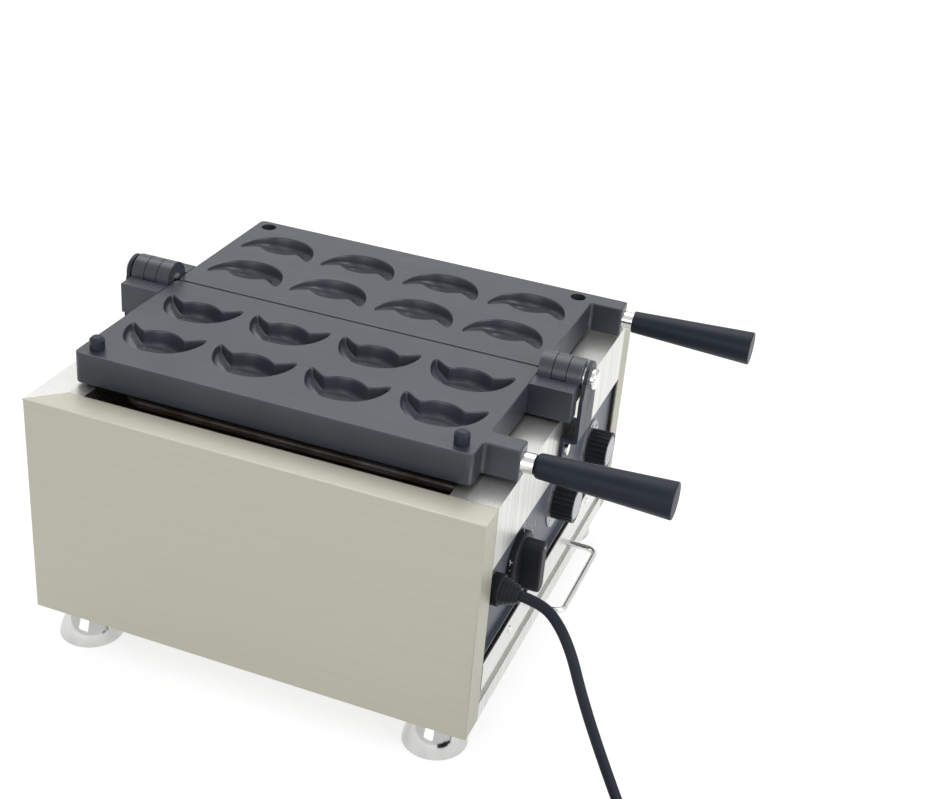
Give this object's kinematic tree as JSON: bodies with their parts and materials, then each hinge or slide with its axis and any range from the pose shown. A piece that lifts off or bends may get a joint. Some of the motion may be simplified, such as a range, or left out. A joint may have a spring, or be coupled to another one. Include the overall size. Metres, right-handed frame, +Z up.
{
  "type": "electric double sided waffle machine",
  "caption": "Countertop electric waffle machine with two cast ingot moulds hinged like a book over a steel cabinet, rotary controls, a drip tray and bell feet",
  "frame": {"origin": "on the table under the middle of the machine's outline, cord left out", "axes": "+X to the right for the user at the controls, -Y toward the user, +Z up; the hinge pins lie along Y above x = 0"},
  "size_m": [0.523, 0.5743, 0.256],
  "materials": {
    "steel_sheet": "brushed stainless sheet",
    "panel_grey": "satin blue-grey panel foil",
    "rail_steel": "plain stainless sheet",
    "reflector": "bright rolled sheet",
    "element": "heat-darkened metal sheath",
    "cast_plate": "dark satin non-stick coating on cast metal",
    "bright_steel": "polished turned steel",
    "grip_black": "moulded heat-proof plastic",
    "knob_black": "moulded black plastic",
    "cap_grey": "satin grey disc",
    "switch_body": "moulded switch housing",
    "cord_black": "matt rubber sheath",
    "pin_brass": "bright brass",
    "foot_chrome": "polished spun bell"
  },
  "bodies": {
    "cabinet": {"side_panel_left": "steel_sheet", "side_panel_right": "steel_sheet", "rear_panel": "steel_sheet", "base_pan": "steel_sheet", "front_fascia": "steel_sheet", "control_panel": "panel_grey", "base_rail": "rail_steel", "rest_rail_front": "rail_steel", "rest_rail_rear": "rail_steel", "reflector_pan": "reflector", "heater_left": "element", "heater_right": "element", "heat_shield": "rail_steel", "tray_runner_left": "steel_sheet", "tray_runner_right": "steel_sheet", "hinge_bracket_front": "steel_sheet", "hinge_bracket_rear": "steel_sheet", "bracket_screws": "bright_steel", "hinge_pin_front": "bright_steel", "hinge_pin_rear": "bright_steel", "hinge_washers": "bright_steel", "timer_body": "bright_steel", "dial_plates": "cap_grey", "thermostat_bodies": "switch_body", "sensor_bulbs": "bright_steel", "terminal_block": "switch_body", "cable_gland": "knob_black", "gland_nut": "knob_black", "power_cord": "cord_black", "cord_coil": "cord_black", "plug_body": "cord_black", "plug_pins": "pin_brass", "foot_front_left": "foot_chrome", "foot_front_right": "foot_chrome", "foot_rear_left": "foot_chrome", "foot_rear_right": "foot_chrome", "foot_bolts": "bright_steel", "foot_nuts": "bright_steel"},
    "left_mould": {"mould_left": "cast_plate", "hinge_lugs_left": "cast_plate", "locating_pegs": "bright_steel", "handle_rod_left": "bright_steel", "grip_left": "grip_black"},
    "right_mould": {"mould_right": "cast_plate", "hinge_lugs_right": "cast_plate", "handle_rod_right": "bright_steel", "grip_right": "grip_black"},
    "timer": {"timer_knob": "knob_black", "timer_shaft": "bright_steel"},
    "left_thermostat": {"thermostat_knob_left": "knob_black", "knob_cap_left": "cap_grey", "thermostat_shaft_left": "bright_steel"},
    "right_thermostat": {"thermostat_knob_right": "knob_black", "knob_cap_right": "cap_grey", "thermostat_shaft_right": "bright_steel"},
    "tray": {"drip_tray": "steel_sheet", "tray_front": "steel_sheet", "tray_handle": "bright_steel", "tray_rivets": "bright_steel"}
  },
  "joints": [
    {"name": "left_mould_turn", "type": "hinge", "parent": "cabinet", "child": "left_mould", "pos_m": [0, 0.04565, 0.242], "axis": [0, 1, 0], "range_deg": [0, 180]},
    {"name": "right_mould_turn", "type": "hinge", "parent": "cabinet", "child": "right_mould", "pos_m": [0, 0.04565, 0.242], "axis": [0, -1, 0], "range_deg": [0, 180]},
    {"name": "timer_turn", "type": "hinge", "parent": "cabinet", "child": "timer", "pos_m": [-0.09, -0.13285, 0.1275], "axis": [0, 1, 0], "range_deg": [0, 300]},
    {"name": "left_thermostat_turn", "type": "hinge", "parent": "cabinet", "child": "left_thermostat", "pos_m": [0.005, -0.13285, 0.1275], "axis": [0, 1, 0], "range_deg": [0, 270]},
    {"name": "right_thermostat_turn", "type": "hinge", "parent": "cabinet", "child": "right_thermostat", "pos_m": [0.098, -0.13285, 0.1275], "axis": [0, 1, 0], "range_deg": [0, 270]},
    {"name": "tray_slide", "type": "slide", "parent": "cabinet", "child": "tray", "axis": [0, -1, 0], "range_m": [0, 0.2]}
  ]
}
